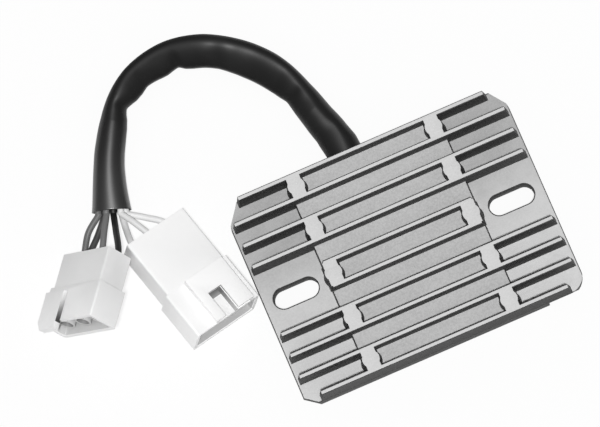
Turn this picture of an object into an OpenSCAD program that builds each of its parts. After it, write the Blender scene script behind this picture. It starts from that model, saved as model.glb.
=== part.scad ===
// Voltage regulator rectifier: a finned die casting that holds a potted
// circuit, and a short sleeved harness with two moulded plug housings.
// X runs along the fins, Y across them towards the harness, Z up through them.
// The origin is the centre of the mounting face. All sizes are in millimetres.

/* [Casting] */
// Length along the fins
body_l = 101.2; // [94:0.2:120]
// Overall height, from the mounting face to the fin tips
body_h = 20; // [18:0.5:26]
// Thickness of the base plate and of its mounting ears
base_t = 7.5; // [6:0.1:9]
// Width of the ledge outside the last fin on each side
rim = 0.1; // [0.1:0.05:2]
// Inward lean of the base plate's ends over their height
end_draft = 0.6; // [0.2:0.1:1.5]
// Length of each mounting ear, from the casting's end to the foot of the middle block
ear_l = 22.9; // [20:0.1:26]
// Inward lean of the middle block's ends over their height
block_lean = 0.6; // [0.2:0.1:1]
// Height of the floor of the middle block
block_h = 13.1; // [12:0.1:15]

/* [Fins] */
// Spacing of the four middle fins
pitch_in = 8.1; // [7:0.1:10]
// Spacing of the three fins on each side of them
pitch_out = 7.6; // [7:0.1:10]
// Fin thickness at the root
fin_root = 2.2; // [1.8:0.1:3]
// Fin thickness at the tip
fin_tip = 1.5; // [1:0.1:1.8]
// Bevel along both edges of a fin tip
tip_bevel = 0.25; // [0.1:0.05:0.4]
// Inward lean of each fin end over its full height
end_lean = 1.2; // [0.5:0.1:3]
// How far the fins stop short of the casting's ends
fin_stop = 1.1; // [0.8:0.1:3]
// How far the outermost fins stop short of the casting's ends
outer_stop = 5.6; // [3:0.1:9]

/* [Ejector pads] */
// Length of the bar that closes a gap between two fins
pad_l = 4.7; // [4:0.1:7]
// Radius of the round pad on the bar
pad_r = 2.9; // [2.6:0.05:3.4]
// Distance of the pad's centre inside the end of the block
pad_in = 3.1; // [2:0.1:5]
// Lean of the sides of pad and bar over their full height
pad_lean = 1.1; // [0.2:0.1:1.4]

/* [Mounting ears] */
// Distance of a bolt slot's centre from the casting's end
slot_inset = 11.8; // [11:0.1:13]
// How far the slots lie off the middle, towards the harness
slot_off = 0.3; // [0:0.1:1]
// Width of a bolt slot, for an M6 bolt
slot_w = 6.8; // [6.2:0.1:7.6]
// End-to-end length of a bolt slot
slot_l = 15.7; // [12:0.1:17]
// Bevel round the rim of a slot
slot_bevel = 0.4; // [0.2:0.1:0.8]

/* [Base corners] */
// Length along X of the cut at the back left corner, beside the harness
back_left_x = 5.5; // [4:0.1:8]
// Length along Y of the cut at the back left corner
back_left_y = 7.5; // [5:0.1:9]
// Length along X of the cut at the back right corner
back_right_x = 4.7; // [4:0.1:8]
// Length along Y of the cut at the back right corner
back_right_y = 6.4; // [5:0.1:9]
// Length along X of the cut at the front left corner
front_left_x = 4.9; // [3:0.1:8]
// Length along Y of the cut at the front left corner
front_left_y = 3.7; // [2:0.1:8]
// Radius of the front right corner
corner_r = 6.5; // [3:0.5:8]
// Depth of the relief under the front edge beside the round corner
relief_d = 0.9; // [0.3:0.1:1.5]
// Length of that relief, from the casting's end
relief_l = 14; // [8:0.5:20]

/* [Circuit] */
// Wall of the casting round the potted recess
recess_wall = 2.8; // [2:0.1:4]
// Thickness of the casting above the recess
recess_roof = 2.6; // [2:0.1:4]
// How far the resin stays below the mounting face
resin_sink = 0.6; // [0.2:0.1:1.5]
// Gap between the ceramic substrate and the ends of the recess
substrate_gap_x = 2.9; // [1:0.1:6]
// Gap between the ceramic substrate and the sides of the recess
substrate_gap_y = 5.4; // [3:0.1:9]
// Thickness of the ceramic substrate
substrate_t = 1; // [0.6:0.1:1.5]
// Width of a thyristor or diode body, across the fins
device_s = 11; // [9:0.5:12]
// Thickness of a thyristor or diode body
device_t = 2.4; // [1.6:0.1:2.6]
// Distance of the power devices from the substrate's ends
device_in = 3; // [1:0.5:5]
// Thickness of the control board
board_t = 1.2; // [0.8:0.1:1.6]
// How far the control board stops inside the substrate's ends
board_in_x = 2; // [1:0.5:4]
// How far the control board stops inside the substrate's sides
board_in_y = 8; // [5:0.5:12]

/* [Harness] */
// Outer diameter of the sleeve
sleeve_d = 10.5; // [9:0.1:11]
// Clearance of the sleeve in its outlet
sleeve_gap = 0.2; // [0.1:0.05:0.5]
// Outer diameter of a wire
wire_d = 2.2; // [1.8:0.1:2.2]
// Depth at which a wire meets its terminal inside a housing
wire_in = 4; // [3:0.5:6]

/* [Long plug housing] */
// Width of the rear body
long_w = 23.8; // [22.8:0.2:25]
// Length from the mating end to the rear
long_l = 39.4; // [36:0.2:44]
// Height of the hood
long_h = 12.4; // [12:0.1:14]
// Length of the hood
long_hood_l = 17.4; // [16:0.2:20]
// How far the hood stands out beyond each side of the rear body
long_step = 1; // [0.8:0.1:2]
// Spacing of its three terminals
long_pitch = 7.5; // [7.3:0.1:7.6]
// Width of its terminal blades
long_blade = 6.3; // [4.8:0.1:6.4]
// Width of the lock bridge
bridge_w = 15.4; // [13:0.2:17]
// Distance of the lock bridge from the hood's left side
bridge_at = 7.6; // [5:0.2:9]
// Height of the lock bridge above the hood
bridge_h = 2.6; // [2:0.1:4]
// Width of the notch in the lock bridge
notch_w = 5.4; // [4:0.2:6]
// Length of the notch in the lock bridge
notch_l = 9.6; // [6:0.2:12]

/* [Short plug housing] */
// Width of the rear body
short_w = 24.3; // [23.9:0.1:26]
// Length from the mating end to the rear
short_l = 25.4; // [24:0.2:30]
// Height of the hood
short_h = 11.5; // [11:0.1:13]
// Length of the hood
short_hood_l = 12.9; // [12:0.1:14.5]
// How far the hood stands out beyond each side of the rear body
short_step = 1.1; // [0.8:0.1:2]
// Spacing of its three terminals
short_pitch = 8.3; // [7.6:0.1:8.3]
// Width of its terminal blades
short_blade = 3.6; // [2:0.1:3.8]
// Outer diameter of the sockets that stand round its blades
socket_d = 5.6; // [5:0.1:5.8]
// Bore of those sockets
socket_bore = 4.4; // [4:0.1:4.6]
// How far the sockets stay inside the mating end
socket_inside = 2.4; // [1.5:0.1:5]
// Width of the lock tongue
tongue_w = 9.5; // [8:0.1:11]
// How far the lock tongue reaches past the mating end
tongue_out = 3.1; // [1.5:0.1:4]
// Width of the slit beside the lock tongue
slit_w = 1; // [0.6:0.1:1.4]

/* [Moulding] */
// Wall thickness of a hood
hood_wall = 1.2; // [1:0.1:1.4]
// How far a hood stands above and below its rear body
hood_rise = 0.6; // [0.3:0.1:1]
// Thickness of the web that the blades pass through
web_t = 2; // [1.5:0.1:3]
// Corner radius of a housing
mould_r = 0.8; // [0.4:0.1:1]
// Thickness of a terminal blade
blade_t = 0.8; // [0.5:0.1:1]
// Clearance round a blade in the web
blade_gap = 0.1; // [0.05:0.05:0.2]

/* [Hidden] */
$fn = 64;
over = 1; // how far a cutting shape runs past the face it cuts

// Fins: the Y of each one, from the four middle fins outwards.
fin_y = concat([for (k = [0:1]) pitch_in * (k + 0.5)],
    [for (k = [1:3]) pitch_in * 1.5 + pitch_out * k]);
last_fin = len(fin_y) - 1;
body_w = 2 * (fin_y[last_fin] + fin_root / 2 + rim);
fin_slope = (fin_root - fin_tip) / 2 / (body_h - base_t);

// Middle block, and the recess for the circuit with what lies in it.
block_l = body_l - 2 * ear_l;
slot_x = body_l / 2 - slot_inset;
recess_l = block_l - 2 * recess_wall;
recess_w = body_w - 2 * recess_wall;
roof_z = block_h - recess_roof;
substrate_l = recess_l - 2 * substrate_gap_x;
substrate_w = recess_w - 2 * substrate_gap_y;
substrate_z = roof_z - substrate_t;
device_z = substrate_z - device_t;
phase_pitch = (substrate_w - device_s) / 2 - 2 * device_in;
bus_w = 4; // width of a bus bar
bus_t = 1; // thickness of a bus bar
bus_in = 2; // how far a bus bar stops inside the substrate's sides
bus_gap = 0.5; // gap between a bus bar and the devices
bus_l = substrate_w - 2 * bus_in;
bus_room = 7; // room between the two bus bars
device_l = (substrate_l - bus_room) / 2 - device_in - bus_w - bus_gap;
device_x = substrate_l / 2 - device_l / 2 - device_in;
bus_x = device_x - device_l / 2 - bus_w / 2 - bus_gap;
board_gap = 0.4; // gap between the devices and the control board
board_l = substrate_l - 2 * board_in_x;
board_w = substrate_w - 2 * board_in_y;
board_z = device_z - board_t - board_gap;
chip_size = [10, 6, 1.6];
can_r = 2.2; // radius of the capacitor
can_l = 9; // length of the capacitor
pin_r = 0.5; // radius of a link pin
pin_in = 1.2; // distance of a pin from the board's end
pin_x = board_l / 2 - pin_in;
pin_y = phase_pitch / 2;

// Harness: the route of the sleeve, resting on the surface that the casting stands on.
sleeve_r = sleeve_d / 2;
SLEEVE = [[-5, 45], [-7.5, 51], [-11, 61], [-17, 72], [-25, 81], [-36, 88],
    [-48, 91], [-60, 88.5], [-70, 81.5], [-76.5, 71], [-81, 61], [-84.5, 50.5]];
outlet_x = SLEEVE[0].x;
sleeve_path = concat([[outlet_x, recess_w / 2, sleeve_r]], [for (p = SLEEVE) [p.x, p.y, sleeve_r]]);
sleeve_end = sleeve_path[len(sleeve_path) - 1];
sleeve_aim = unit(sleeve_end - sleeve_path[len(sleeve_path) - 2]);
sleeve_side = [-sleeve_aim.y, sleeve_aim.x, 0];
sleeve_sides = 12;
wire_sides = 8;
lead = 1.2; // length of wire that leaves the mouth straight

// Housings: where the left lower corner of each hood's mating end lies, and its turn.
long_at = [-77.3, -4.2, 11.3];
long_turn = [-4.9, 20.2, 14.3];
short_at = [-115.1, 17.5, 5.6];
short_turn = [-21.7, -44.2, -20.8];

long_hood_w = long_w + 2 * long_step;
short_hood_w = short_w + 2 * short_step;
blade_up = 3.1; // height of the blades above the inside of the hood's floor
long_cell = [6.7, 5.6]; // width and height of a terminal cell
short_cell = [6.2, 5.6];
crimp_w = 3.4; // width of a barrel that holds one wire
crimp_h = 3; // height of a barrel
pair_x = 1.2; // how far the two wires of a shared barrel lie off its middle
blade_inside = 4.4; // how far the blades stay inside the mating end
tip_cut = 0.7; // bevel at the tip of a blade

// Vector and placing helpers.
function unit(v) = v / norm(v);
function turn_x(p, a) = [p.x, p.y * cos(a) - p.z * sin(a), p.y * sin(a) + p.z * cos(a)];
function turn_y(p, a) = [p.x * cos(a) + p.z * sin(a), p.y, p.z * cos(a) - p.x * sin(a)];
function turn_z(p, a) = [p.x * cos(a) - p.y * sin(a), p.x * sin(a) + p.y * cos(a), p.z];
function placed(p, at, turn) = at + turn_z(turn_y(turn_x(p, turn.x), turn.y), turn.z);

// Rings of a tube along a path, each square to the path where it crosses it.
function aim(path, i) = unit(path[min(i + 1, len(path) - 1)] - path[max(i - 1, 0)]);
function side(path, i) = unit(cross(aim(path, i), [0, 0, 1]));
function ring(path, i, r, n) = [for (k = [0:n - 1])
    path[i] + r * (cos(360 * (k + 0.5) / n) * side(path, i)
        + sin(360 * (k + 0.5) / n) * cross(side(path, i), aim(path, i)))];

// Tube of n sides with flat ends.
module tube(path, r, n) {
    rings = len(path);
    points = [for (i = [0:rings - 1]) each ring(path, i, r, n)];
    walls = [for (i = [0:rings - 2], k = [0:n - 1], half = [0, 1])
        half == 0 ? [i * n + k, i * n + (k + 1) % n, (i + 1) * n + (k + 1) % n]
            : [i * n + k, (i + 1) * n + (k + 1) % n, (i + 1) * n + k]];
    caps = [[for (k = [n - 1:-1:0]) k], [for (k = [0:n - 1]) (rings - 1) * n + k]];
    polyhedron(points, concat(walls, caps), convexity = 6);
}

// One fin of given root length, standing on the base plate at y.
module fin(y, length) {
    height = body_h - base_t + over;
    foot = fin_root / 2 + fin_slope * over;
    translate([0, y, base_t - over]) intersection() {
        rotate([90, 0, 90]) translate([0, 0, -length / 2]) linear_extrude(length)
            polygon([[-foot, 0], [foot, 0], [fin_tip / 2, height - tip_bevel],
                [fin_tip / 2 - tip_bevel, height], [tip_bevel - fin_tip / 2, height],
                [-fin_tip / 2, height - tip_bevel]]);
        rotate([90, 0, 0]) translate([0, 0, -fin_root]) linear_extrude(2 * fin_root)
            polygon([[-length / 2, 0], [length / 2, 0], [length / 2, over],
                [length / 2 - end_lean, height], [end_lean - length / 2, height], [-length / 2, over]]);
    }
}

// Bar with a round ejector pad that closes the gap between fins at y_low and y_high.
module pad(x, y_low, y_high) {
    height = body_h - base_t + over;
    grow = pad_lean / (body_h - base_t) * height;
    y_mid = (y_low + y_high) / 2;
    translate([x, y_high, base_t - over]) rotate([90, 0, 0]) linear_extrude(y_high - y_low)
        polygon([[-pad_l / 2 - grow, 0], [pad_l / 2 + grow, 0], [pad_l / 2, height], [-pad_l / 2, height]]);
    translate([x, y_mid, base_t - over])
        cylinder(h = height, r1 = pad_r + grow, r2 = pad_r);
}

// Straight slot through the ear at x, with a bevelled rim.
module bolt_slot(x) {
    reach = (slot_l - slot_w) / 2;
    translate([x, slot_off, -over]) {
        for (s = [-1, 1]) translate([s * reach, 0, 0]) cylinder(h = base_t + 2 * over, d = slot_w);
        translate([-reach, -slot_w / 2, 0]) cube([2 * reach, slot_w, base_t + 2 * over]);
    }
    translate([x, slot_off, base_t - slot_bevel]) {
        for (s = [-1, 1]) translate([s * reach, 0, 0])
            cylinder(h = slot_bevel + over, r1 = slot_w / 2, r2 = slot_w / 2 + slot_bevel + over);
        rotate([90, 0, 90]) translate([0, 0, -reach]) linear_extrude(2 * reach)
            polygon([[-slot_w / 2, 0], [slot_w / 2, 0], [slot_w / 2 + slot_bevel + over, slot_bevel + over],
                [-slot_w / 2 - slot_bevel - over, slot_bevel + over]]);
    }
}

// Outline of the base plate, with three cut corners and a round one.
module base_outline() {
    x = body_l / 2;
    y = body_w / 2;
    difference() {
        polygon([[-x + front_left_x, -y], [x, -y], [x, y - back_right_y], [x - back_right_x, y],
            [-x + back_left_x, y], [-x, y - back_left_y], [-x, -y + front_left_y]]);
        translate([x - corner_r, corner_r - y]) difference() {
            translate([0, -corner_r - over]) square(corner_r + over);
            circle(corner_r);
        }
    }
}

// Base plate with leaning ends, and a shallow relief under its front edge at the round corner.
module base_plate() {
    land = relief_d; // height of the edge that is left above the relief
    difference() {
        intersection() {
            linear_extrude(base_t) base_outline();
            translate([0, body_w / 2 + over, 0]) rotate([90, 0, 0]) linear_extrude(body_w + 2 * over)
                polygon([[-body_l / 2, 0], [body_l / 2, 0], [body_l / 2 - end_draft, base_t],
                    [end_draft - body_l / 2, base_t]]);
        }
        translate([body_l / 2, -body_w / 2, 0]) rotate([90, 0, -90]) linear_extrude(relief_l)
            polygon([[over, -over], [-relief_d, -over], [-relief_d, base_t - 2 * land], [0, base_t - land],
                [over, base_t - land]]);
    }
}

// Middle block with leaning ends, as high as the channels over the circuit.
module middle_block() {
    translate([0, fin_y[last_fin], 0]) rotate([90, 0, 0]) linear_extrude(2 * fin_y[last_fin])
        polygon([[-block_l / 2, 0], [block_l / 2, 0], [block_l / 2, base_t],
            [block_l / 2 - block_lean, block_h], [block_lean - block_l / 2, block_h],
            [-block_l / 2, base_t]]);
}

// Opening through the wall where the sleeve comes out, open to the mounting face.
module outlet() {
    r = sleeve_r + sleeve_gap;
    depth = recess_wall + over;
    translate([outlet_x, body_w / 2 + over, sleeve_r]) {
        rotate([90, 0, 0]) cylinder(h = depth, r = r);
        translate([-r, -depth, -sleeve_r - over]) cube([2 * r, depth, sleeve_r + over]);
    }
}

module heat_sink() color([0.72, 0.73, 0.74]) difference() {
    union() {
        base_plate();
        middle_block();
        for (s = [-1, 1], k = [0:last_fin])
            fin(s * fin_y[k], k == 0 ? block_l : body_l - 2 * (k == last_fin ? outer_stop : fin_stop));
        for (s = [-1, 1]) {
            x = s * (block_l / 2 - pad_in);
            pad(x, -fin_y[0], fin_y[0]);
            for (t = [-1, 1]) {
                pad(x, t > 0 ? fin_y[1] : -fin_y[2], t > 0 ? fin_y[2] : -fin_y[1]);
                pad(x, t > 0 ? fin_y[3] : -fin_y[4], t > 0 ? fin_y[4] : -fin_y[3]);
            }
        }
    }
    for (s = [-1, 1]) bolt_slot(s * slot_x);
    translate([-recess_l / 2, -recess_w / 2, -over]) cube([recess_l, recess_w, roof_z + over]);
    outlet();
}

// Everything that the resin surrounds, as plain blocks.
module circuit() {
    ceramic_substrate();
    for (k = [-1:1]) {
        device(-device_x, k);
        device(device_x, k);
    }
    positive_bus();
    negative_bus();
    control_board();
    control_chip();
    capacitor();
    link_pins();
}

module potting_resin() color([0.06, 0.06, 0.07]) difference() {
    translate([-recess_l / 2, -recess_w / 2, resin_sink]) cube([recess_l, recess_w, roof_z - resin_sink]);
    circuit();
}

module ceramic_substrate() color([0.93, 0.93, 0.9])
    translate([-substrate_l / 2, -substrate_w / 2, substrate_z]) cube([substrate_l, substrate_w, substrate_t]);

// Body of a power device that sits on the substrate, in the row of phase k.
module device(x, k) {
    translate([x - device_l / 2, k * phase_pitch - device_s / 2, device_z])
        cube([device_l, device_s, device_t]);
}

module thyristor(k) color([0.12, 0.12, 0.13]) device(-device_x, k);
module diode(k) color([0.2, 0.2, 0.22]) device(device_x, k);

// Bus bar along the devices on one side of the substrate.
module bus(x) {
    translate([x - bus_w / 2, -bus_l / 2, substrate_z - bus_t]) cube([bus_w, bus_l, bus_t]);
}

module positive_bus() color([0.75, 0.45, 0.25]) bus(bus_x);
module negative_bus() color([0.75, 0.45, 0.25]) bus(-bus_x);

module control_board() color([0.1, 0.35, 0.2]) difference() {
    translate([-board_l / 2, -board_w / 2, board_z]) cube([board_l, board_w, board_t]);
    link_pins();
}

module control_chip() color([0.1, 0.1, 0.1])
    translate([-chip_size.x, -chip_size.y / 2, board_z - chip_size.z]) cube(chip_size);

module capacitor() color([0.2, 0.25, 0.5])
    translate([chip_size.x, -can_l / 2, board_z - can_r]) rotate([-90, 0, 0]) cylinder(h = can_l, r = can_r);

// Pins that carry the control board below the substrate.
module link_pins() color([0.8, 0.7, 0.4])
    for (x = [-pin_x, pin_x], y = [-pin_y, pin_y])
        translate([x, y, board_z]) cylinder(h = substrate_z - board_z, r = pin_r);

module harness_sleeve() color([0.07, 0.07, 0.07]) tube(sleeve_path, sleeve_r, sleeve_sides);

// Centre of a wire in the sleeve's mouth, from its seat sideways and upwards of the middle.
function bundle_point(seat) = sleeve_end + seat[0] * sleeve_side + [0, 0, seat[1]];

// Terminal positions across a housing, counted from its left side.
function cell_x(hood_w, pitch, count, k) = hood_w / 2 + (k - (count - 1) / 2) * pitch;
cell_z = hood_wall + blade_up;

// Points of a wire from the sleeve's mouth, by way of one middle point and the cell's door,
// to its terminal. It may pass the door leaning to one side.
door_out = 1.5; // how far outside the housing the door point lies
function wire_path(start, middle, x, lean, length, at, turn) = [start, start + lead * sleeve_aim, middle,
    placed([x + lean, length + door_out, cell_z], at, turn), placed([x, length - wire_in, cell_z], at, turn)];

// The middle points, where each wire sits in the mouth, and how it leans at the door.
phase_middle = [[-82.4, 43, 5.8], [-79.3, 44.2, 8], [-75.3, 44.3, 5]];
phase_seat = [[3.1, -2], [3.2, 1.9], [4.7, 0]];
phase_door = [0, -0.8, -1.4];
battery_middle = [[-94.6, 46.6, 6], [-92.2, 44.8, 4.2], [-89.4, 44.2, 9.3], [-85.4, 43.2, 10.6]];
battery_seat = [[-4.5, 0.9], [-2.8, -1.7], [-1.7, 1.5], [0.5, -0.2]];
battery_door = [0, 0, 0, 0.4];
battery_cell = [0, 0, 1, 2]; // the terminal of each wire: the first two share one
battery_side = [-pair_x, pair_x, 0, 0];

// Wire k of the pale group, for the long housing.
module phase_wire(k) color([0.9, 0.9, 0.88])
    tube(wire_path(bundle_point(phase_seat[k]), phase_middle[k], cell_x(long_hood_w, long_pitch, 3, k),
        phase_door[k], long_l, long_at, long_turn), wire_d / 2, wire_sides);

// Wire k of the dark group, for the short housing.
module battery_wire(k) color([0.25 - 0.05 * k, 0.25 - 0.05 * k, 0.25 - 0.05 * k])
    tube(wire_path(bundle_point(battery_seat[k]), battery_middle[k],
        cell_x(short_hood_w, short_pitch, 3, battery_cell[k]) + battery_side[k], battery_door[k],
        short_l, short_at, short_turn), wire_d / 2, wire_sides);

// Rectangle with round corners, from [0, 0].
module round_rect(w, h, r) {
    translate([r, 0]) square([w - 2 * r, h]);
    translate([0, r]) square([w, h - 2 * r]);
    for (x = [r, w - r], y = [r, h - r]) translate([x, y]) circle(r, $fn = 32);
}

// Block with round long edges, from y0 to y1 along the housing.
module bar(x, z, w, h, y0, y1, r) {
    translate([x, y1, z]) rotate([90, 0, 0]) linear_extrude(y1 - y0) round_rect(w, h, r);
}

// Body, hood and terminal cells of a housing, without its lock.
module housing(hood_w, length, height, hood_l, step, pitch, blade, count, cell) {
    web_y = hood_l - web_t;
    difference() {
        union() {
            bar(step, hood_rise, hood_w - 2 * step, height - 2 * hood_rise, 0, length, mould_r);
            bar(0, 0, hood_w, height, 0, hood_l, mould_r);
        }
        bar(hood_wall, hood_wall, hood_w - 2 * hood_wall, height - 2 * hood_wall, -over, web_y, mould_r / 2);
        for (k = [0:count - 1]) {
            x = cell_x(hood_w, pitch, count, k);
            translate([x - cell.x / 2, hood_l, cell_z - cell.y / 2]) cube([cell.x, length, cell.y]);
            translate([x - blade / 2 - blade_gap, web_y - over, cell_z - blade_t / 2 - blade_gap])
                cube([blade + 2 * blade_gap, web_t + 2 * over, blade_t + 2 * blade_gap]);
        }
    }
}

// Lock bridge over the long housing's hood: a plate on two legs, with a notch in its front edge.
module lock_bridge() {
    leg = 1.3; // thickness of a leg
    plate = 1.1; // thickness of the plate
    notch_in = 2.3; // distance of the notch from the left leg
    translate([bridge_at, 0, long_h]) difference() {
        translate([0, 0, -hood_wall / 2]) cube([bridge_w, long_hood_l, bridge_h + hood_wall / 2]);
        translate([leg, -over, 0]) cube([bridge_w - 2 * leg, long_hood_l - leg + over, bridge_h - plate]);
        translate([leg + notch_in, -over, bridge_h - plate - over])
            cube([notch_w, notch_l + over, plate + 2 * over]);
    }
}

module long_housing() color([0.95, 0.95, 0.93]) translate(long_at) rotate(long_turn) {
    housing(long_hood_w, long_l, long_h, long_hood_l, long_step, long_pitch, long_blade, 3, long_cell);
    lock_bridge();
}

module short_housing() color([0.88, 0.88, 0.86]) translate(short_at) rotate(short_turn) {
    difference() {
        housing(short_hood_w, short_l, short_h, short_hood_l, short_step, short_pitch,
            short_blade, 3, short_cell);
        translate([tongue_w, -over, short_h - hood_wall - over])
            cube([slit_w, short_hood_l - web_t + over, hood_wall + 2 * over]);
    }
    lock_tongue();
    for (k = [0:2]) socket(cell_x(short_hood_w, short_pitch, 3, k));
}

// Round socket of the short housing, which stands on the web round the blade at x.
module socket(x) {
    depth = short_hood_l - web_t - socket_inside;
    translate([x, socket_inside + depth, cell_z]) rotate([90, 0, 0]) difference() {
        translate([0, 0, -web_t / 2]) cylinder(h = depth + web_t / 2, d = socket_d);
        translate([0, 0, -web_t]) cylinder(h = depth + web_t + over, d = socket_bore);
    }
}

// Lock tongue of the short housing's hood, with a bevelled outer corner.
module lock_tongue() {
    rise = 0.9; // height of the tongue above the hood
    bevel = 2.1; // bevel of its outer corner
    translate([0, 0, short_h - hood_wall]) linear_extrude(hood_wall + rise)
        polygon([[0, 0], [bevel, -tongue_out], [tongue_w, -tongue_out], [tongue_w, short_hood_l - web_t],
            [0, short_hood_l - web_t]]);
}

// Blade terminal at x across a housing: a flat blade with a bevelled tip, and a crimped
// barrel that seats on the web behind it.
module terminal(x, length, hood_l, blade, barrel_w) {
    translate([x, 0, cell_z - blade_t / 2]) linear_extrude(blade_t)
        polygon([[-blade / 2, hood_l + over], [-blade / 2, blade_inside + tip_cut],
            [tip_cut - blade / 2, blade_inside], [blade / 2 - tip_cut, blade_inside],
            [blade / 2, blade_inside + tip_cut], [blade / 2, hood_l + over]]);
    translate([x - barrel_w / 2, hood_l, cell_z - crimp_h / 2])
        cube([barrel_w, length - wire_in - hood_l, crimp_h]);
}

module phase_terminal(k) color([0.8, 0.7, 0.4]) translate(long_at) rotate(long_turn)
    terminal(cell_x(long_hood_w, long_pitch, 3, k), long_l, long_hood_l, long_blade, crimp_w);

module battery_terminal(k) color([0.8, 0.7, 0.4]) translate(short_at) rotate(short_turn)
    terminal(cell_x(short_hood_w, short_pitch, 3, k), short_l, short_hood_l, short_blade,
        k == 0 ? crimp_w + 2 * pair_x : crimp_w);

heat_sink();
potting_resin();
ceramic_substrate();
for (k = [0:2]) {
    thyristor(k - 1);
    diode(k - 1);
    phase_wire(k);
    phase_terminal(k);
    battery_terminal(k);
}
positive_bus();
negative_bus();
control_board();
control_chip();
capacitor();
link_pins();
harness_sleeve();
for (k = [0:3]) battery_wire(k);
long_housing();
short_housing();
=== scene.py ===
# %% [markdown]
# A voltage regulator rectifier: a finned aluminium casting that holds a potted circuit, and a
# short sleeved harness with two moulded plug housings. The construction comes in as a fixed
# frame of solids. This script dresses it: it softens edges, makes the sleeve and the wires as
# swept surfaces, and gives every piece a procedural finish.

# %% Load the frame
from math import radians
import bmesh
import bpy
import numpy as np
from mathutils import Euler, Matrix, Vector


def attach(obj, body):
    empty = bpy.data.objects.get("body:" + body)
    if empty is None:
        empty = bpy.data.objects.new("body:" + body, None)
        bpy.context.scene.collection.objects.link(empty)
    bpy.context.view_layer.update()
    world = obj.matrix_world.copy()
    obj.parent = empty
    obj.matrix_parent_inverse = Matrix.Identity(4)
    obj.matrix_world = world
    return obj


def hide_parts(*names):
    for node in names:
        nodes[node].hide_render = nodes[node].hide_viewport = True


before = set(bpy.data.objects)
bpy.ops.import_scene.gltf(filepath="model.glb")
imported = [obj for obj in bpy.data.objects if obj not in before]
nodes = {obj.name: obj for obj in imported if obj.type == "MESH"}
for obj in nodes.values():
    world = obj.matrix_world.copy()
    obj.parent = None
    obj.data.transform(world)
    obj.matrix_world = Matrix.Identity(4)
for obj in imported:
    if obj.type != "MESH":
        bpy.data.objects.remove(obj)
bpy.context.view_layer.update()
MM = 0.001
print("nodes in the frame:", len(nodes))

# %% [markdown]
# The view looks almost straight down from a metre and a half away, turned so that the fins run
# up to the right. A long lens at that distance keeps parallel edges nearly parallel, as a
# catalogue photograph does. The place, turn and lens were worked out from corners of the
# casting whose real places are known.

# %% Camera
CAMERA_AT = Vector((-7.7, -205.8, 1485.8)) * MM
CAMERA_TURN = (7.82, 4.18, -23.12)      # degrees about X, then Y, then Z
FOCAL_PX, FRAME_PX, SENSOR_MM = 4514.8, 600, 36.0
SHIFT_PX = (-0.6, 0.9)                  # under a pixel each, measured on the edges

lens = bpy.data.cameras.new("view")
lens.sensor_width = SENSOR_MM
lens.lens = SENSOR_MM * FOCAL_PX / FRAME_PX
lens.shift_x, lens.shift_y = (v / FRAME_PX for v in SHIFT_PX)
lens.clip_start, lens.clip_end = 0.1, 20.0
camera = bpy.data.objects.new("view", lens)
camera.location = CAMERA_AT
camera.rotation_euler = Euler([radians(a) for a in CAMERA_TURN])
bpy.context.scene.collection.objects.link(camera)
bpy.context.scene.camera = camera
print("lens", round(lens.lens, 1), "mm")

# %% [markdown]
# Shader maths reads best as ordinary expressions. A Signal stands for one output of a node, and
# each operator on it adds a Math node. A Finish is one material: its constants go straight on
# the shader's own sockets, and one method makes any other node from its type, settings and
# inputs.

# %% Signals and finishes
class Signal:
    """One node output; + - * on it add Math nodes, in either order."""
    def __init__(self, finish, socket):
        self.finish, self.socket = finish, socket

    def math(self, operation, *others, flip=False):
        values = (*others, self) if flip else (self, *others)
        return self.finish.node("Math", dict(enumerate(values)), operation=operation)

    def __add__(self, other): return self.math("ADD", other)
    def __mul__(self, other): return self.math("MULTIPLY", other)
    def __sub__(self, other): return self.math("SUBTRACT", other)
    def __rsub__(self, other): return self.math("SUBTRACT", other, flip=True)
    __radd__, __rmul__ = __add__, __mul__

    def ramp(self, low, high):
        """0 below low, 1 above high, a smooth step between."""
        return self.finish.node("MapRange", {"Value": self, "From Min": low, "From Max": high},
                                interpolation_type="SMOOTHSTEP")

    def ramp_mm(self, low, high):
        """The same step between two places in millimetres."""
        return self.ramp(low * MM, high * MM)


class Finish:
    """A material with one Principled shader; words such as roughness set its own sockets."""
    def __init__(self, name, **constants):
        self.material = bpy.data.materials.new(name)
        self.material.use_nodes = True
        self.tree = self.material.node_tree
        self.shader = self.tree.nodes["Principled BSDF"]
        for word, value in constants.items():
            self.shader.inputs[word.replace("_", " ").title().replace("Ior", "IOR")].default_value = value

    def feed(self, socket, value):
        if isinstance(value, Signal):
            self.tree.links.new(value.socket, socket)
        elif value is not None:
            socket.default_value = value

    def node(self, kind, inputs=None, out=0, **settings):
        made = self.tree.nodes.new("ShaderNode" + kind)
        for word, value in settings.items():
            setattr(made, word, value)
        for key, value in (inputs or {}).items():
            self.feed(made.inputs[key], value)
        return Signal(self, made.outputs[out])

    def place(self, out="Object"):
        return self.node("TexCoord", out=out)

    def noise(self, scale, detail=2.0, place=None, rough=0.5):
        return self.node("TexNoise", {"Vector": place or self.place(), "Scale": scale, "Detail": detail,
                                      "Roughness": rough})

    def mix(self, factor, a, b):
        """Colour a where factor is 0, b where it is 1."""
        made = self.tree.nodes.new("ShaderNodeMix")
        made.data_type = "RGBA"
        colours = [s for s in made.inputs if s.type == "RGBA"]
        self.feed(made.inputs[0], factor)
        self.feed(colours[0], a)
        self.feed(colours[1], b)
        return Signal(self, [s for s in made.outputs if s.type == "RGBA"][0])

    def axis(self, place, name):
        return self.node("SeparateXYZ", {0: place}, out=name)

    def bump(self, height, distance, strength=1.0):
        return self.node("Bump", {"Height": height, "Distance": distance, "Strength": strength})

    def set(self, socket, value):
        self.feed(self.shader.inputs[socket], value)


def grey(value, warm=0.0):
    """A neutral colour of linear value, a little warmer if warm is above 0."""
    return (value * (1 + warm), value, value * (1 - warm), 1.0)

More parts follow.
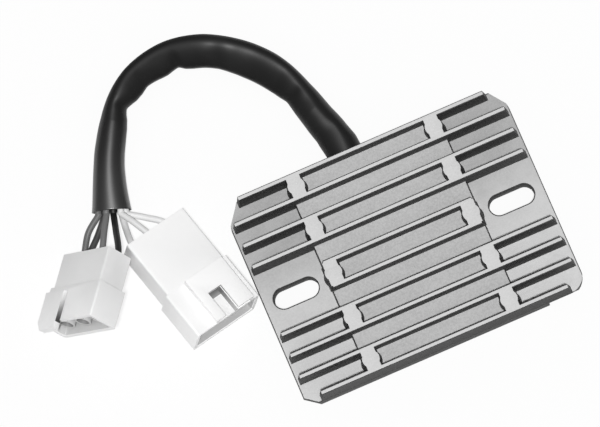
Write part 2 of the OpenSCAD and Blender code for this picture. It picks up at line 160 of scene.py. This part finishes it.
# %% [markdown]
# The route of the sleeve is the one that the frame was built on, repeated here in millimetres.
# A Catmull-Rom curve through the points gives a smooth centreline: between two points it is the
# cubic whose end slopes are half the step between the neighbours.

# %% Route of the sleeve
SLEEVE_R = 5.25
SLEEVE_ROUTE = [(-5, 33.35), (-5, 45), (-7.5, 51), (-11, 61), (-17, 72), (-25, 81), (-36, 88),
                (-48, 91), (-60, 88.5), (-70, 81.5), (-76.5, 71), (-81, 61), (-84.5, 50.5)]


def smooth_path(points, steps):
    """Catmull-Rom through points, steps samples to a span, as an array."""
    p = np.array(points, float)
    p = np.vstack([2 * p[0] - p[1], p, 2 * p[-1] - p[-2]])
    t = np.linspace(0, 1, steps, endpoint=False)[:, None]
    spans = [0.5 * (2 * b + (c - a) * t + (2 * a - 5 * b + 4 * c - d) * t**2
                    + (3 * b - a - 3 * c + d) * t**3)
             for a, b, c, d in zip(p[:-3], p[1:-2], p[2:-1], p[3:])]
    return np.vstack([*spans, p[-2]])


def frames(path):
    """Unit tangent, sideways and upward arrays along a path that never runs straight up."""
    tangent = np.gradient(path, axis=0)
    tangent /= np.linalg.norm(tangent, axis=1)[:, None]
    side = np.cross(tangent, [0, 0, 1.0])
    side /= np.linalg.norm(side, axis=1)[:, None]
    return tangent, side, np.cross(side, tangent)


def travelled(path):
    """Distance along the path to each of its points."""
    return np.concatenate([[0], np.cumsum(np.linalg.norm(np.diff(path, axis=0), axis=1))])


sleeve_line = smooth_path([(x, y, SLEEVE_R) for x, y in SLEEVE_ROUTE], 20)

# %% [markdown]
# A swept surface is a grid: one index goes along the path, the other round it. The grid's faces
# are worked out once from the two counts, and the first and last rings are closed by caps.

# %% Grid surfaces
def grid_faces(rows, columns):
    """Quads of a grid whose columns close on themselves."""
    i, k = np.meshgrid(np.arange(rows - 1), np.arange(columns), indexing="ij")
    n = (k + 1) % columns
    corners = [i * columns + k, i * columns + n, (i + 1) * columns + n, (i + 1) * columns + k]
    return np.stack(corners, -1).reshape(-1, 4)


def surface(name, rings, material, stands_for=()):
    """Closed tube from an array of rings (rows, columns, xyz) in millimetres."""
    rows, columns = rings.shape[:2]
    faces = grid_faces(rows, columns).tolist()
    faces += [list(range(columns))[::-1], list(range((rows - 1) * columns, rows * columns))]
    mesh = bpy.data.meshes.new(name)
    mesh.from_pydata((rings.reshape(-1, 3) * MM).tolist(), [], faces)
    tidy = bmesh.new()
    tidy.from_mesh(mesh)
    bmesh.ops.recalc_face_normals(tidy, faces=tidy.faces)
    tidy.to_mesh(mesh)
    tidy.free()
    mesh.shade_smooth()
    mesh.materials.append(material)
    piece = bpy.data.objects.new(name, mesh)
    bpy.context.scene.collection.objects.link(piece)
    if stands_for:
        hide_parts(*stands_for)
    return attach(piece, "root")

# %% [markdown]
# Sleeve and wires are vinyl with a faint orange-peel skin and slow dull patches. The sleeve is
# black and dull in its bend. On its two legs a gloss coat carries the long soft highlights, and
# it is strongest near the open mouth. Where a leg ends is given as a place in millimetres.

# %% Sleeve and wire finishes
BEND_Y = (70, 100)             # where the legs end, and from where the bend is fully dull
LEFT_END_X = (-76, -62)        # where the left leg's coat fades out
RIGHT_START_X = (-40, -25)     # where the right leg's coat fades in
LEFT_FADE_Y = (48, 85)         # from the mouth upwards, where the left leg's coat grows weaker


def orange_peel(skin, strength):
    """The uneven skin of extruded vinyl, fine and coarse noise together, as a bump."""
    return skin.bump(skin.noise(1800, 2) * 0.4 + skin.noise(250, 2) * 0.6, 0.0001, strength)


def vinyl(name, colour, rough):
    """Wire insulation: one colour with lighter and duller patches under its orange peel."""
    skin = Finish(name)
    slow = skin.noise(60, 3).ramp(0.35, 0.7)
    lighter = tuple(min(1, c * 1.6 + 0.004) for c in colour[:3]) + (1,)
    skin.set("Base Color", skin.mix(slow * 0.3, colour, lighter))
    skin.set("Roughness", rough + slow * 0.12)
    skin.set("Normal", orange_peel(skin, 0.45))
    return skin.material


def sleeve_vinyl():
    """Black vinyl, dull in the bend, with a gloss coat on its left leg and a thin one on its right."""
    skin = Finish("black_vinyl", specular_ior_level=0.17, coat_roughness=0.34, coat_ior=2.0)
    place = skin.place()
    x, y = skin.axis(place, 0), skin.axis(place, 1)
    slow = skin.noise(60, 3).ramp(0.35, 0.7)
    bend = y.ramp_mm(*BEND_Y)
    left = 1 - x.ramp_mm(*LEFT_END_X)
    right = x.ramp_mm(*RIGHT_START_X)
    skin.set("Base Color", skin.mix(slow * 0.4, grey(0.009), grey(0.016)))
    skin.set("Roughness", 0.34 + bend * 0.24 + slow * 0.06)
    skin.set("Coat Weight", left * (0.9 - y.ramp_mm(*LEFT_FADE_Y) * 0.75) + right * 0.14)
    skin.set("Normal", orange_peel(skin, 0.35))
    return skin.material


sleeve_finish = sleeve_vinyl()
pale_finish = vinyl("pale_insulation", grey(0.72), 0.45)
WIRE_VALUES = (0.12, 0.05, 0.15, 0.012)      # the four darker wires, from the outermost
wire_greys = [vinyl(f"grey_insulation_{k + 1}", grey(v), 0.42) for k, v in enumerate(WIRE_VALUES)]
print("vinyl finishes:", 2 + len(wire_greys))

# %% [markdown]
# The sleeve isn't a round hose. It is a little flattened, it bulges and creases on the inner
# side of its bend, and its open mouth is spread by the wires. So its half widths on the outer
# and the inner side are tables against the distance along it, eased between their rows. In the
# bend its top leans towards the outer side, which moves the highlight there.

# %% Sleeve
AROUND = 64
OUTER = [(0, 5.2), (4, 5.4), (8, 5.0), (10, 4.35), (12, 3.9), (14, 3.9), (17, 4.4), (23, 4.45),
         (29, 4.6), (33, 5.05), (37, 5.45), (43, 5.85), (60, 5.75), (66, 5.75), (70, 5.55),
         (76, 5.2), (83, 4.8), (92, 4.6), (100, 4.25), (104, 4.05), (107, 4.1), (113, 4.7),
         (118, 5.05), (123, 5.2), (128, 5.5), (132, 5.9), (135, 6.25), (139, 6.8)]
INNER = [(0, 5.3), (4, 6.6), (8, 7.4), (10, 7.7), (12, 7.85), (14, 7.75), (17, 7.0), (20, 6.55),
         (26, 6.1), (29, 5.55), (31, 5.1), (34, 5.5), (40, 5.8), (50, 5.95), (55, 5.65), (60, 5.2),
         (65, 5.25), (70, 5.5), (73, 5.25), (75.5, 4.2), (78, 5.0), (80.5, 5.6), (83, 5.55),
         (86, 5.1), (90, 4.55), (93.5, 5.1), (97, 4.9), (100, 3.85), (101.7, 3.2), (103.5, 3.8),
         (106, 4.75), (109.5, 5.2), (118, 5.15), (123, 5.25), (128, 5.65), (132, 5.95),
         (135, 6.25), (139, 6.8)]
CREASES = [(31, 1.6), (60, 3.0), (76.2, 1.4), (90, 1.6), (101.5, 1.4)]    # place and reach of each
CREASE_DEPTH, FOLD_DEPTH = 0.1, 0.022  # shares of the height
BEND_FROM, BEND_TO, BEND_EASE = 22, 108, 16     # along the sleeve: the bend, and how softly it begins
FLAT_BEND, FLAT_LEGS = 0.80, 0.93      # height against the plain sleeve, in the bend and beside it
LEAN, SQUARE = 0.48, 0.60              # how far the bend's top leans out, and how boxy its section is
EASE = 0.7                             # how far a table's corners are rounded, along the sleeve
SMOOTH_OVER = 41                       # samples over which the sideways direction is averaged
WALL, BORE_L = 0.8, 16.0               # thickness at the mouth, and how deep the sleeve is open


def eased(table, run):
    """The table's value at each distance, its corners rounded over EASE millimetres."""
    at, value = np.array(table).T
    shifts = np.linspace(-2, 2, 9)
    weight = np.exp(-shifts ** 2)
    return sum(w * np.interp(run + t * EASE, at, value) for t, w in zip(shifts, weight)) / weight.sum()


def sleeve_rings(line, run, angle, inset):
    """Rings whose half widths follow the tables; the height is boxy, flattened and leans outwards.

    With u = cos(angle) and v = sin(angle), the upper half rises by R * flat * (1 + lean * u) * v**square,
    and the lower half, which rests on the floor, reaches down by R * |v|**square.
    """
    tangent, side, up = frames(line)
    window = np.full(SMOOTH_OVER, 1 / SMOOTH_OVER)
    padded = np.pad(side, ((SMOOTH_OVER // 2,) * 2, (0, 0)), "edge")
    side = np.stack([np.convolve(c, window, "valid") for c in padded.T], 1)
    s = run[:, None]
    across, rise = np.cos(angle), np.sin(angle)
    bend = (np.clip((s - BEND_FROM) / BEND_EASE, 0, 1)
            * np.clip((BEND_TO - s) / BEND_EASE, 0, 1))
    outer, inward = eased(OUTER, run)[:, None], eased(INNER, run)[:, None]
    width = np.where(across > 0, outer, inward) - inset
    inner = np.clip(-across + 0.25, 0, 1)
    crease = sum(np.exp(-((s - at) / reach) ** 2) for at, reach in CREASES) * inner
    wave = np.sin(s * 0.62 + 1.3 * np.sin(s * 0.21)) * np.sin(s * 0.17 + 0.5)
    folds = wave * bend * (0.4 + inner)
    flat = FLAT_LEGS + (FLAT_BEND - FLAT_LEGS) * bend - CREASE_DEPTH * crease + FOLD_DEPTH * folds
    square = 1 - (1 - SQUARE) * bend
    tall = SLEEVE_R * np.where(rise > 0, flat * (1 + LEAN * bend * across), 1.0) - inset
    shape = np.sign(rise) * np.abs(rise) ** square
    return (line[:, None] + (width * across)[..., None] * side[:, None]
            + (tall * shape)[..., None] * up[:, None])


turn = np.linspace(0, 2 * np.pi, AROUND, endpoint=False)[None, :]
dense = smooth_path([(x, y, SLEEVE_R) for x, y in SLEEVE_ROUTE], 40)
dense_run = travelled(dense)
outside = sleeve_rings(dense, dense_run, turn, 0.0)
back = dense_run > dense_run[-1] - BORE_L
inside = sleeve_rings(dense[back], dense_run[back], turn, WALL)[::-1]
rings = np.vstack([outside, inside])
sleeve = surface("sleeve", rings, sleeve_finish, ("harness_sleeve",))
print("sleeve:", len(outside), "rings outside and", len(inside), "inside")

# %% [markdown]
# Seven wires leave the sleeve's mouth: three pale ones fan out to the long housing and four
# darker ones go to the short housing, where the first two share a terminal. Each starts a little
# way inside the sleeve and ends in its housing's terminal cell. The housings are turned in
# space, so a small function places a point of a housing in the shared frame.

# %% Routes of the wires
WIRE_R, WIRE_AROUND = 1.1, 20
# Each housing's own corner in the frame, its turn in degrees and its length
LONG_AT, LONG_TURN, LONG_L = (-77.3, -4.2, 11.3), (-4.9, 20.2, 14.3), 39.4
SHORT_AT, SHORT_TURN, SHORT_L = (-115.1, 17.5, 5.6), (-21.7, -44.2, -20.8), 25.4
CELL_Z = 4.3               # height of the terminal cells in a housing
LEAD = 1.2                 # length of wire that leaves the mouth straight
DOOR_OUT, WIRE_IN = 1.5, 4.0   # how far outside and inside a housing a wire's last points lie
WIRE_INSIDE = 14.0         # length of a wire that is still in the sleeve


def placed(point, at, turned):
    """A housing's own point in the shared frame, in millimetres."""
    return Vector(at) + Euler([radians(a) for a in turned]).to_matrix() @ Vector(point)


mouth = sleeve_line[-1]
aim, mouth_side, _ = (a[-1] for a in frames(sleeve_line))
print("sleeve's mouth at", mouth.round(1), "facing", aim.round(2))


def wire_line(seat, middle, x, lean, length, at, turned):
    """Smooth line from inside the sleeve, past one middle point, into a terminal cell."""
    offset = -seat[0] * mouth_side + np.array([0, 0, seat[1]])
    start = mouth + offset
    return smooth_path([mouth + 0.5 * offset - WIRE_INSIDE * aim,
                        mouth + 0.75 * offset - WIRE_INSIDE / 2 * aim,
                        start, start + LEAD * aim, middle,
                        placed((x + lean, length + DOOR_OUT, CELL_Z), at, turned),
                        placed((x, length - WIRE_IN, CELL_Z), at, turned)], 10)


def wire(name, line, material):
    """Round tube along the line, in place of the frame's node of that name; its length is printed."""
    tangent, side, up = frames(line)
    angle = np.linspace(0, 2 * np.pi, WIRE_AROUND, endpoint=False)
    rings = (line[:, None] + WIRE_R * np.cos(angle)[None, :, None] * side[:, None]
             + WIRE_R * np.sin(angle)[None, :, None] * up[:, None])
    piece = surface(name, rings, material, (name,))
    piece.name = name + "_drawn"
    print(name, round(travelled(line)[-1], 1), "mm")


# %% Wires
# For each wire: its middle point, its seat in the mouth (sideways, up) and its lean at the housing
PHASE_MIDDLE = [(-82.4, 43, 5.8), (-79.3, 44.2, 8), (-75.3, 44.3, 5)]
PHASE_SEAT = [(3.1, -2), (3.2, 1.9), (4.7, 0)]
PHASE_DOOR = [0, -0.8, -1.4]
BATTERY_MIDDLE = [(-94.6, 46.6, 6), (-92.2, 44.8, 4.2), (-89.4, 44.2, 9.3), (-85.4, 43.2, 10.6)]
BATTERY_SEAT = [(-4.5, 0.9), (-2.8, -1.7), (-1.7, 1.5), (0.5, -0.2)]
BATTERY_DOOR = [0, 0, 0, 0.4]
BATTERY_CELL, BATTERY_SIDE = [0, 0, 1, 2], [-1.2, 1.2, 0, 0]     # the first two share a cell
LONG_MIDDLE, LONG_PITCH = 12.9, 7.5          # middle cell of a housing, and the step to the next
SHORT_MIDDLE, SHORT_PITCH = 13.25, 8.3
LONG_CELLS = [LONG_MIDDLE + LONG_PITCH * (k - 1) for k in range(3)]
SHORT_CELLS = [SHORT_MIDDLE + SHORT_PITCH * (k - 1) for k in range(3)]

for k in range(3):
    line = wire_line(PHASE_SEAT[k], PHASE_MIDDLE[k], LONG_CELLS[k], PHASE_DOOR[k],
                     LONG_L, LONG_AT, LONG_TURN)
    wire(f"phase_wire_{k + 1}", line, pale_finish)
for k in range(4):
    cell = BATTERY_CELL[k]
    line = wire_line(BATTERY_SEAT[k], BATTERY_MIDDLE[k], SHORT_CELLS[cell] + BATTERY_SIDE[k],
                     BATTERY_DOOR[k], SHORT_L, SHORT_AT, SHORT_TURN)
    wire(f"battery_wire_{k + 1}", line, wire_greys[k])

# %% [markdown]
# Die castings and mouldings have no knife edges. The solids in the frame do, so a rounded copy
# of a node is made: its loose triangles are merged, flat runs are dissolved to whole faces, and
# a Bevel modifier rounds what is left.

# %% Rounded copies
def softened(node, radius, material, segments=2, angle=25):
    """Copy of a CAD node with its edges rounded to a radius in millimetres."""
    source = nodes[node]
    mesh = source.data.copy()
    mesh.materials.clear()
    mesh.materials.append(material)
    tidy = bmesh.new()
    tidy.from_mesh(mesh)
    bmesh.ops.remove_doubles(tidy, verts=tidy.verts, dist=2e-6)
    bmesh.ops.dissolve_limit(tidy, angle_limit=radians(0.6), verts=tidy.verts, edges=tidy.edges)
    tidy.to_mesh(mesh)
    tidy.free()
    mesh.shade_smooth()
    piece = bpy.data.objects.new(node + "_rounded", mesh)
    bpy.context.scene.collection.objects.link(piece)
    edge = piece.modifiers.new("edge", "BEVEL")
    edge.width, edge.segments, edge.limit_method = radius * MM, segments, "ANGLE"
    edge.angle_limit = radians(angle)
    edge.use_clamp_overlap, edge.harden_normals = True, True
    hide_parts(node)
    print(node, "rounded copy:", len(mesh.polygons), "faces")
    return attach(piece, "root")

# %% [markdown]
# The casting is blasted aluminium. Its channel floors are grainy, its fin tips and ejector pads
# are rubbed a little smoother and lighter, and its ears are cloudy and darken towards the
# harness. Its walls, the bevels on its fins and the edge bar's outer rim are painted dark as
# shade, so the colour follows the direction that the surface faces.

# %% Casting finish
FIN_TIP, EAR_TOP = 19.6, 7.8           # heights above which a face is a tip, and below which an ear
LEDGE_SHADE_Y = (35.7, 36.0)                 # the edge bar's outer rim, painted dark as shade like the walls
EAR_SHADE_Y = (-18, 22)                # an ear darkens from the front to the harness side


def cast_skin():
    """Cast aluminium: walls painted dark as shade, grainy floors, lighter tips and cloudy ears."""
    skin = Finish("cast_aluminium", ior=1.5, specular_ior_level=0.25)
    place = skin.place()
    facing = skin.axis(skin.place("Normal"), 2).math("ABSOLUTE")
    height = skin.axis(place, 2)
    ledge_shade = skin.axis(place, 1).math("ABSOLUTE").ramp_mm(*LEDGE_SHADE_Y)
    # Faces that don't point up, and the rim, take the painted shade
    flat = facing.ramp(0.74, 0.96) * (1 - ledge_shade)
    tip = height.ramp_mm(FIN_TIP - 0.4, FIN_TIP)
    ear = 1 - height.ramp_mm(EAR_TOP, EAR_TOP + 0.4)
    grain = skin.noise(1500, 2, place, 0.6)
    cloud = skin.noise(70, 4, place, 0.6)
    stain = skin.noise(110, 3, place, 0.5).ramp(0.52, 0.78)
    floor = skin.mix(grain.ramp(0.3, 0.7), grey(0.44), grey(0.53))
    top = skin.mix(grain.ramp(0.25, 0.75), grey(0.57), grey(0.64))
    level = skin.mix(tip, floor, top)
    level = skin.mix(cloud.ramp(0.35, 0.75) * (0.2 + ear * 0.45), level, grey(0.64))
    level = skin.mix(stain * ear * 0.35, level, grey(0.36))
    upper = skin.axis(place, 1).ramp_mm(*EAR_SHADE_Y)
    level = skin.mix(ear * upper * 0.42, level, grey(0.30))
    level = skin.mix(ear * (1 - upper) * 0.45, level, grey(0.74))
    # Painted shade: a near-black grey for the walls, the bevels and the rim
    wall_shade = skin.mix(grain.ramp(0.3, 0.7), grey(0.048), grey(0.075))
    skin.set("Base Color", skin.mix(flat, wall_shade, level))
    skin.set("Roughness", 0.6 + grain * 0.2 - tip * 0.1)
    skin.set("Normal", skin.bump(grain * (1 - tip * 0.6) + cloud * 0.3, 0.0001, 0.6))
    return skin.material


softened("heat_sink", 0.22, cast_skin())

# %% [markdown]
# The long housing is opaque white nylon and the short one natural nylon, which is milky: some
# light goes into it and comes out nearby, so it gets a little subsurface scattering. Little light
# comes back out of a mouth, a socket or a slit, so there the colour falls off with the depth as
# painted shade. A housing is turned in space, so its own across, inward and upward coordinates
# are dot products with its three turned axes, and these tell where the painted shade goes in
# the housing.

# %% Nylon finishes
def own_axes(skin, at, turned):
    """A housing's own three coordinates in metres, as signals."""
    corner = tuple(v * MM for v in at)
    from_corner = skin.node("VectorMath", {0: skin.place(), 1: corner}, operation="SUBTRACT")
    axes = Euler([radians(a) for a in turned]).to_matrix().transposed()
    return [skin.node("VectorMath", {0: from_corner, 1: tuple(axis)}, out=1, operation="DOT_PRODUCT")
            for axis in axes]


def between(signal, low, high, soft=0.1):
    """1 between two places in millimetres and 0 outside them."""
    return signal.ramp_mm(low - soft, low + soft) * (1 - signal.ramp_mm(high - soft, high + soft))


def nylon(name, base, light, milky, pose, shaded_hollows):
    """Nylon with painted shade in each hollow.

    A hollow is its ranges across, inward and upward in millimetres, the value of its painted shade,
    and how much of that there is at its mouth. A share under 1 grows with the depth, and a share of 1
    fades.
    """
    skin = Finish(name, subsurface_weight=milky, subsurface_scale=0.0015, subsurface_radius=(1, 1, 1),
                  ior=1.53, specular_ior_level=0.35)
    slow = skin.noise(45, 3).ramp(0.3, 0.7)
    colour = skin.mix(slow, grey(base), grey(light))
    across, inward, upward = own_axes(skin, *pose)
    for wide, deep, high, dark, first in shaded_hollows:
        depth = inward.ramp_mm(*deep)
        share = first + depth * (1 - first) if first < 1 else 1 - depth
        inside = between(across, *wide) * between(inward, *deep) * between(upward, *high)
        # Painted shade: the colour darkens inside each hollow
        colour = skin.mix(inside * share, colour, grey(dark))
    skin.set("Base Color", colour)
    skin.set("Roughness", 0.38 + slow * 0.12)
    skin.set("Normal", skin.bump(skin.noise(900, 2) + slow * 0.5, 0.00005, 0.6))
    return skin.material


# Painted shade in each housing's mouth, the gaps of its notch, its sockets and its slit
LONG_MOUTH_SHADE = ((0.7, 25.1), (0.3, 16.0), (0.7, 11.7), 0.18, 0.62)
NOTCH_SHADE = [((15.5, 16.8), (-0.5, 9.9), (11.9, 14.5), 0.16, 0.6),      # painted shade in the gap beside its white tooth
         ((11.1, 16.8), (7.6, 9.9), (11.9, 14.5), 0.16, 0.8)]       # and painted shade in the gap behind it
SHORT_MOUTH_SHADE = ((0.7, 25.8), (0.3, 11.5), (0.7, 10.8), 0.20, 0.38)
SOCKET_R = 2.3
SOCKET_SHADES = [((x - SOCKET_R, x + SOCKET_R), (2.5, 11.5), (CELL_Z - SOCKET_R, CELL_Z + SOCKET_R), 0.05, 0.6)
           for x in SHORT_CELLS]
SLIT_SHADE = ((9.4, 10.6), (-0.5, 11.0), (10.2, 13.5), 0.06, 1)

white_nylon = nylon("white_nylon", 0.97, 0.99, 0.1, (LONG_AT, LONG_TURN), [LONG_MOUTH_SHADE, *NOTCH_SHADE])
softened("long_housing", 0.25, white_nylon)
natural_nylon = nylon("natural_nylon", 0.84, 0.90, 0.3, (SHORT_AT, SHORT_TURN),
                      [SHORT_MOUTH_SHADE, *SOCKET_SHADES, SLIT_SHADE])
softened("short_housing", 0.3, natural_nylon)

# %% [markdown]
# The terminals are tinned brass, a metal with a fine grain. The resin under the casting is black
# epoxy with a slightly uneven skin. The circuit's parts are sealed in it, and each has a plain
# finish of its own.

# %% Terminals, resin and circuit
def dress(names, material):
    """Puts one material on each of the named CAD nodes."""
    for name in names:
        mesh = nodes[name].data
        mesh.materials.clear()
        mesh.materials.append(material)


def grained(name, dark, light, scale, bump=0.00003, **constants):
    """Two close colours mixed by noise, with a matching roughness and a faint bump."""
    skin = Finish(name, **constants)
    grain = skin.noise(scale, 3)
    skin.set("Base Color", skin.mix(grain.ramp(0.3, 0.7), dark, light))
    skin.set("Roughness", constants.get("roughness", 0.5) + grain * 0.15)
    skin.set("Normal", skin.bump(grain, bump, 0.5))
    return skin.material


TERMINALS = [n for n in nodes if "_terminal_" in n]
dress(TERMINALS + ["link_pins"],
      grained("tinned_brass", grey(0.5, 0.05), grey(0.62, 0.03), 900, metallic=1.0, roughness=0.28))
dress(["potting_resin"], grained("potting_resin", grey(0.012), grey(0.02), 120, 0.00015, roughness=0.3))
dress(["ceramic_substrate"], grained("alumina", grey(0.78), grey(0.84), 400, roughness=0.5))
dress(["positive_bus", "negative_bus"],
      grained("copper", (0.6, 0.3, 0.17, 1), (0.72, 0.4, 0.25, 1), 500, metallic=1.0, roughness=0.35))
dress(["control_board"],
      grained("laminate", (0.02, 0.13, 0.06, 1), (0.03, 0.18, 0.09, 1), 700, roughness=0.4))
dress(["control_chip"] + [f"{n}_{k}" for n in ("thyristor", "diode") for k in (1, 2, 3)],
      grained("moulded_epoxy", grey(0.02), grey(0.035), 800, roughness=0.5))
dress(["capacitor"], grained("drawn_can", grey(0.6), grey(0.7), 600, metallic=1.0, roughness=0.3))
print("terminals dressed:", len(TERMINALS))

# %% [markdown]
# The light comes from close to the view's own direction, as over a copy table, with a weak even
# fill: level faces are bright, the walls of the fins stay dark under their painted shade, and each
# fin's shade, with its bevel's painted shade, shows as no more than a thin line beyond it. The
# floor is white paper that keeps a soft shadow.

# %% Floor, light and world
CAMERA_SHARE = 0.8       # share of plain white in the floor that the camera sees
FLOOR_HALF = 3           # half the floor's side, in metres
KEY_AIM, KEY_POWER, KEY_SPREAD = (0.0, 0.165, -1), 2.7, 3
FILL = 0.2               # strength of the even light from all round


def lit_floor():
    """White paper that takes a soft shadow; the camera sees most of it as plain white."""
    paper = bpy.data.materials.new("paper")
    paper.use_nodes = True
    tree = paper.node_tree
    shader = tree.nodes["Principled BSDF"]
    shader.inputs["Base Color"].default_value = grey(0.9)
    shader.inputs["Roughness"].default_value = 0.9
    glow = tree.nodes.new("ShaderNodeEmission")
    mixed = tree.nodes.new("ShaderNodeMixShader")
    rays = tree.nodes.new("ShaderNodeLightPath")
    share = tree.nodes.new("ShaderNodeMath")
    share.operation = "MULTIPLY"
    share.inputs[1].default_value = CAMERA_SHARE
    tree.links.new(rays.outputs["Is Camera Ray"], share.inputs[0])
    tree.links.new(share.outputs[0], mixed.inputs[0])
    tree.links.new(shader.outputs[0], mixed.inputs[1])
    tree.links.new(glow.outputs[0], mixed.inputs[2])
    tree.links.new(mixed.outputs[0], tree.nodes["Material Output"].inputs[0])
    return paper


floor_mesh = bpy.data.meshes.new("floor")
corners = [(-FLOOR_HALF, -FLOOR_HALF, 0), (FLOOR_HALF, -FLOOR_HALF, 0),
           (FLOOR_HALF, FLOOR_HALF, 0), (-FLOOR_HALF, FLOOR_HALF, 0)]
floor_mesh.from_pydata(corners, [], [(0, 1, 2, 3)])
floor_mesh.materials.append(lit_floor())
floor = bpy.data.objects.new("floor", floor_mesh)
bpy.context.scene.collection.objects.link(floor)


def sun(name, towards, power, spread):
    """Distant lamp that shines along towards, with a soft edge of spread degrees."""
    lamp = bpy.data.lights.new(name, "SUN")
    lamp.energy, lamp.angle = power, radians(spread)
    holder = bpy.data.objects.new(name, lamp)
    holder.rotation_euler = Vector(towards).to_track_quat("-Z", "Y").to_euler()
    bpy.context.scene.collection.objects.link(holder)


sun("key", KEY_AIM, KEY_POWER, KEY_SPREAD)
world = bpy.data.worlds.new("room")
world.use_nodes = True
world.node_tree.nodes["Background"].inputs["Color"].default_value = grey(1.0)
world.node_tree.nodes["Background"].inputs["Strength"].default_value = FILL
bpy.context.scene.world = world
bpy.context.scene.view_settings.view_transform = "Standard"
print("key light", KEY_POWER, "and fill", FILL)
